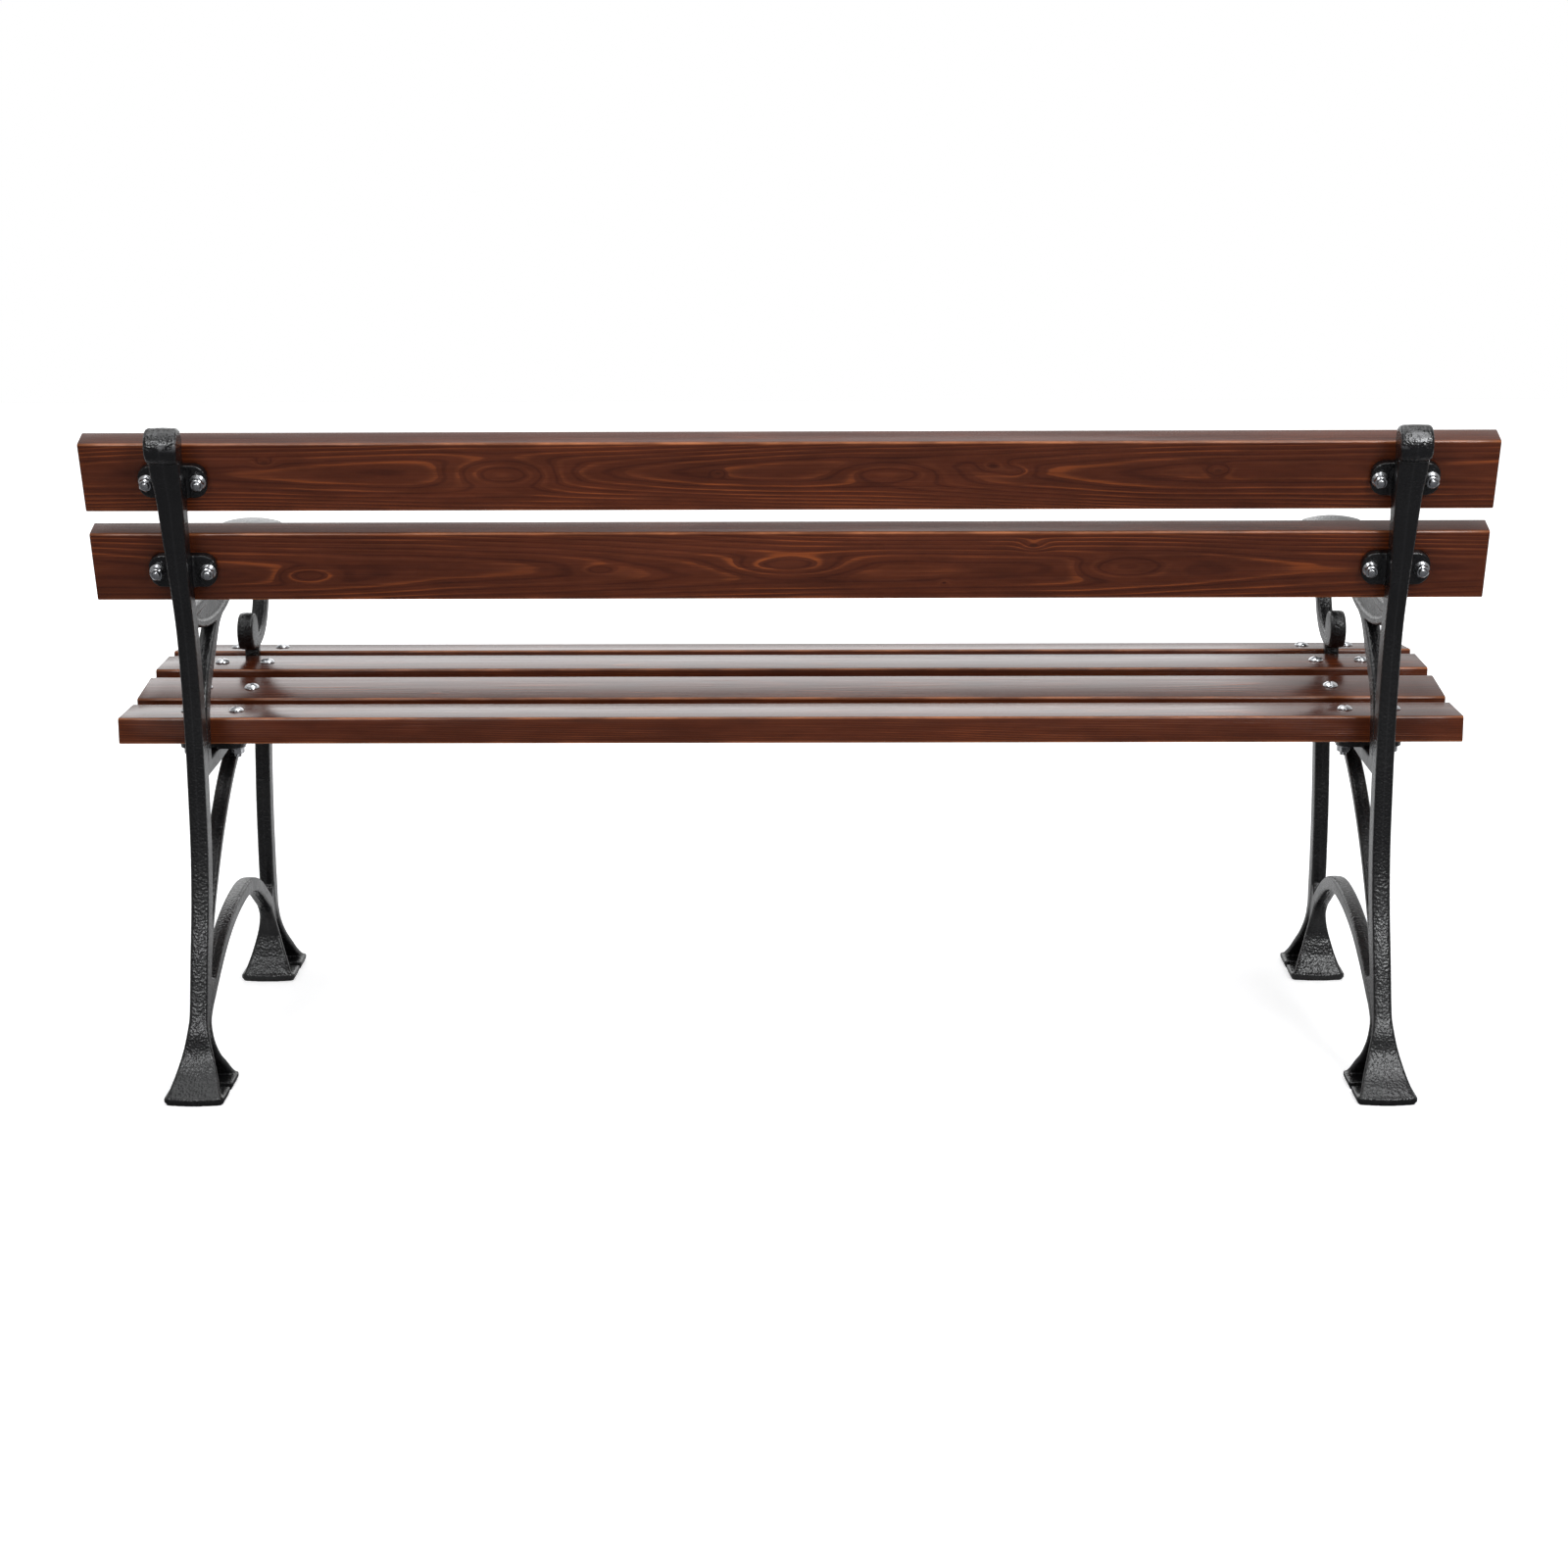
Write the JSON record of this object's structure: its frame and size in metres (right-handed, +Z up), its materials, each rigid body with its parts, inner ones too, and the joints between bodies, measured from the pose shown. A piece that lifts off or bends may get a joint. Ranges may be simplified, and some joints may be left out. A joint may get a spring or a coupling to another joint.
{
  "type": "garden bench",
  "caption": "Garden bench with two scrolled cast iron side frames, dark stained wooden slats for seat and back, open arm rests and flared feet.",
  "frame": {"origin": "on the ground, in the middle of the bench's outline seen from above", "axes": "+X along the bench towards a sitter's left, +Z up, the bench's front faces -Y"},
  "size_m": [1.5, 0.5817, 0.7413],
  "materials": {
    "black_cast_iron": "satin black paint over a fine cast texture",
    "stained_pine": "dark red-brown stain and satin varnish",
    "zinc_plated_steel": "bright zinc plating"
  },
  "bodies": {
    "root": {"back_slat_lower": "stained_pine", "back_slat_lower_left_inner_bolt": "zinc_plated_steel", "back_slat_lower_left_inner_nut": "zinc_plated_steel", "back_slat_lower_left_outer_bolt": "zinc_plated_steel", "back_slat_lower_left_outer_nut": "zinc_plated_steel", "back_slat_lower_right_inner_bolt": "zinc_plated_steel", "back_slat_lower_right_inner_nut": "zinc_plated_steel", "back_slat_lower_right_outer_bolt": "zinc_plated_steel", "back_slat_lower_right_outer_nut": "zinc_plated_steel", "back_slat_upper": "stained_pine", "back_slat_upper_left_inner_bolt": "zinc_plated_steel", "back_slat_upper_left_inner_nut": "zinc_plated_steel", "back_slat_upper_left_outer_bolt": "zinc_plated_steel", "back_slat_upper_left_outer_nut": "zinc_plated_steel", "back_slat_upper_right_inner_bolt": "zinc_plated_steel", "back_slat_upper_right_inner_nut": "zinc_plated_steel", "back_slat_upper_right_outer_bolt": "zinc_plated_steel", "back_slat_upper_right_outer_nut": "zinc_plated_steel", "frame_left": "black_cast_iron", "frame_right": "black_cast_iron", "seat_slat_1": "stained_pine", "seat_slat_1_left_inner_bolt": "zinc_plated_steel", "seat_slat_1_left_inner_nut": "zinc_plated_steel", "seat_slat_1_left_outer_bolt": "zinc_plated_steel", "seat_slat_1_left_outer_nut": "zinc_plated_steel", "seat_slat_1_right_inner_bolt": "zinc_plated_steel", "seat_slat_1_right_inner_nut": "zinc_plated_steel", "seat_slat_1_right_outer_bolt": "zinc_plated_steel", "seat_slat_1_right_outer_nut": "zinc_plated_steel", "seat_slat_2": "stained_pine", "seat_slat_2_left_inner_bolt": "zinc_plated_steel", "seat_slat_2_left_inner_nut": "zinc_plated_steel", "seat_slat_2_left_outer_bolt": "zinc_plated_steel", "seat_slat_2_left_outer_nut": "zinc_plated_steel", "seat_slat_2_right_inner_bolt": "zinc_plated_steel", "seat_slat_2_right_inner_nut": "zinc_plated_steel", "seat_slat_2_right_outer_bolt": "zinc_plated_steel", "seat_slat_2_right_outer_nut": "zinc_plated_steel", "seat_slat_3": "stained_pine", "seat_slat_3_left_inner_bolt": "zinc_plated_steel", "seat_slat_3_left_inner_nut": "zinc_plated_steel", "seat_slat_3_left_outer_bolt": "zinc_plated_steel", "seat_slat_3_left_outer_nut": "zinc_plated_steel", "seat_slat_3_right_inner_bolt": "zinc_plated_steel", "seat_slat_3_right_inner_nut": "zinc_plated_steel", "seat_slat_3_right_outer_bolt": "zinc_plated_steel", "seat_slat_3_right_outer_nut": "zinc_plated_steel", "seat_slat_4": "stained_pine", "seat_slat_4_left_inner_bolt": "zinc_plated_steel", "seat_slat_4_left_inner_nut": "zinc_plated_steel", "seat_slat_4_left_outer_bolt": "zinc_plated_steel", "seat_slat_4_left_outer_nut": "zinc_plated_steel", "seat_slat_4_right_inner_bolt": "zinc_plated_steel", "seat_slat_4_right_inner_nut": "zinc_plated_steel", "seat_slat_4_right_outer_bolt": "zinc_plated_steel", "seat_slat_4_right_outer_nut": "zinc_plated_steel"}
  },
  "joints": []
}
